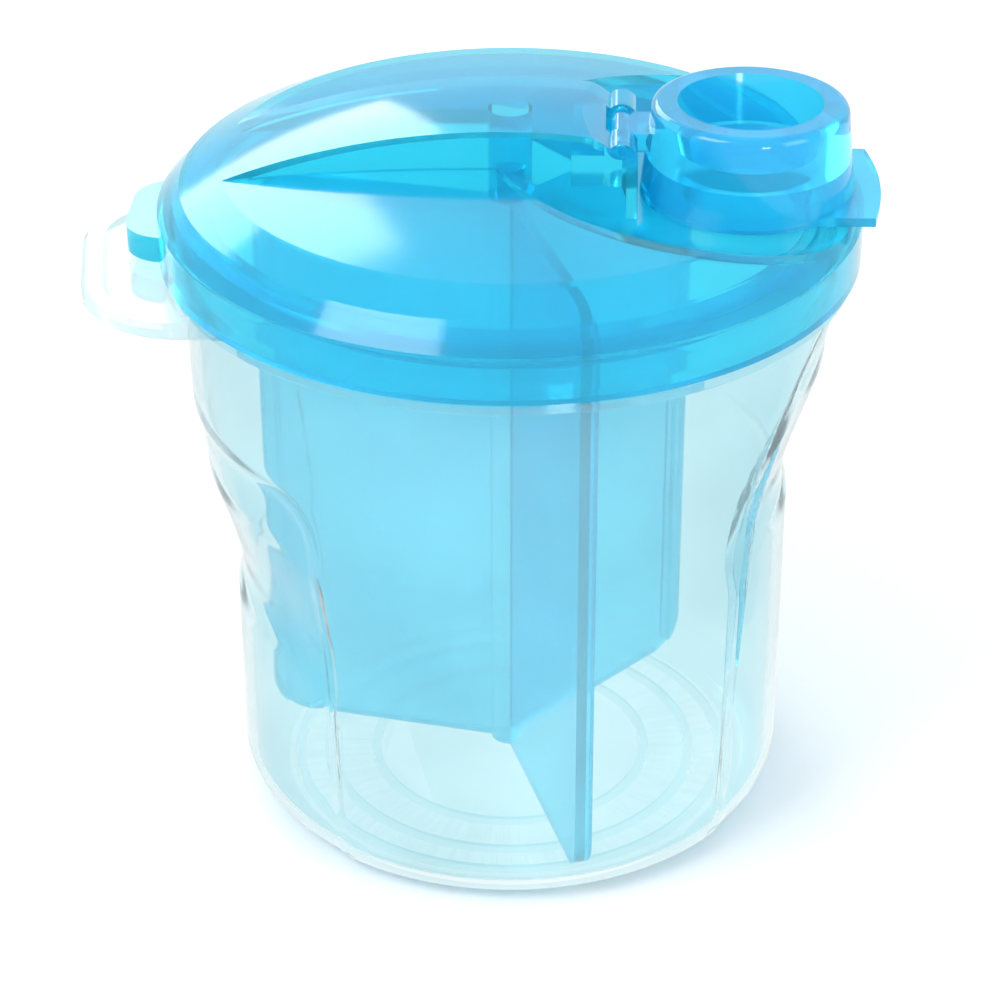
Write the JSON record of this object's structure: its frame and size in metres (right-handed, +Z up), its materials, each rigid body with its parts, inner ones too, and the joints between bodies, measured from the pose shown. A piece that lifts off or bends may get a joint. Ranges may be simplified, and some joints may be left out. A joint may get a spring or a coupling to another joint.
{
  "type": "formula dispenser",
  "caption": "Round translucent powder cup split into three compartments by a lift-out divider, with a turning domed lid, pouring spout and flip-up spout cap.",
  "frame": {"origin": "centre of the cup's flat underside", "axes": "+Z up along the lid's turning axis, +X towards the spout, -X towards the pry tab and lug"},
  "size_m": [0.1137, 0.1, 0.1094],
  "materials": {
    "cup_plastic": "translucent natural polypropylene, lightly frosted",
    "divider_plastic": "translucent light blue polypropylene",
    "lid_plastic": "translucent blue polypropylene, polished",
    "cap_plastic": "translucent blue polypropylene, polished"
  },
  "bodies": {
    "cup": {"cup": "cup_plastic"},
    "divider": {"divider": "divider_plastic"},
    "lid": {"lid": "lid_plastic"},
    "spout_cap": {"spout_cap": "cap_plastic"}
  },
  "joints": [
    {"name": "divider_lift", "type": "slide", "parent": "cup", "child": "divider", "axis": [0, 0, 1], "range_m": [0, 0.1]},
    {"name": "lid_turn", "type": "hinge", "parent": "divider", "child": "lid", "pos_m": [0, 0, 0.0965], "axis": [0, 0, 1], "continuous": true},
    {"name": "cap_flip", "type": "hinge", "parent": "lid", "child": "spout_cap", "pos_m": [0.0156, 0, 0.1046], "axis": [0, -1, 0], "range_deg": [0, 95]}
  ]
}
